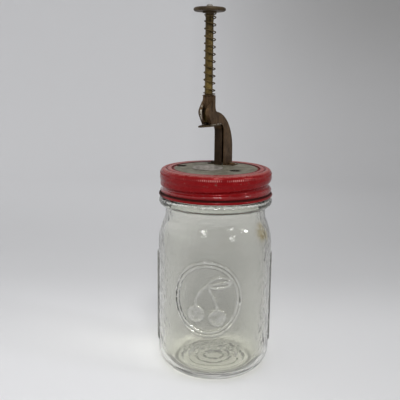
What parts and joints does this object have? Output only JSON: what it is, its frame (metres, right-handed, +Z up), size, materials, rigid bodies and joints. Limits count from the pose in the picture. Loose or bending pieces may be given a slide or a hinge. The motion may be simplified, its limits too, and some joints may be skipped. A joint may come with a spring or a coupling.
{
  "type": "jar-top fruit pitter",
  "caption": "Glass screw-top jar whose lid carries a spring-loaded plunger on a bent arm over a dished seat, to push pits out of small fruit into the jar.",
  "frame": {"origin": "middle of the jar's base, on the surface that it stands on", "axes": "+Z up along the jar's axis and the plunger; -Y is the front of the jar, +X its right side"},
  "size_m": [0.0754, 0.0738, 0.234],
  "materials": {
    "clear_glass": "clear pressed glass with a faint green-grey tint",
    "gasket_rubber": "dull rubber ring",
    "tinned_plate": "dull tinned sheet, grey-green with age",
    "tinned_seat": "tinned pressing, paler where fruit rubs it",
    "red_enamel": "gloss red enamel with small chips at the edge",
    "arm_steel": "brown patinated sheet steel",
    "rivet_steel": "patinated steel",
    "sleeve_brass": "dull brass",
    "stripper_steel": "patinated sheet steel, bright along the edge",
    "washer_steel": "patinated steel",
    "spring_steel": "dark brown spring wire",
    "rod_metal": "dull mottled brass-plated rod",
    "collar_metal": "dull dark brass",
    "button_metal": "brown patinated steel",
    "button_rivet_metal": "tinned rivet"
  },
  "bodies": {
    "jar": {"jar": "clear_glass"},
    "lid": {"jar_gasket": "gasket_rubber", "lid_plate": "tinned_plate", "fruit_seat": "tinned_seat", "arm": "arm_steel", "foot_rivets": "rivet_steel", "guide_sleeve": "sleeve_brass", "stripper_plate": "stripper_steel", "spring_washer": "washer_steel"},
    "band": {"screw_band": "red_enamel"},
    "plunger": {"plunger_rod": "rod_metal", "button_collar": "collar_metal", "thumb_button": "button_metal", "button_rivet": "button_rivet_metal", "return_spring": "spring_steel"}
  },
  "joints": [
    {"name": "lid_lift", "type": "slide", "parent": "jar", "child": "lid", "axis": [0, 0, 1], "range_m": [0, 0.0064]},
    {"name": "band_turn", "type": "hinge", "parent": "lid", "child": "band", "pos_m": [0, 0, 0.125], "axis": [0, 0, 1], "range_deg": [0, 450]},
    {"name": "plunger_press", "type": "slide", "parent": "lid", "child": "plunger", "axis": [0, 0, -1], "range_m": [0, 0.034], "stiffness_N_per_m": 500, "springref_m": -0.006, "deforming": ["return_spring"]}
  ],
  "couplings": [
    {"joint": "lid_lift", "follows": "band_turn", "m_per_rad": 0.00080851}
  ]
}
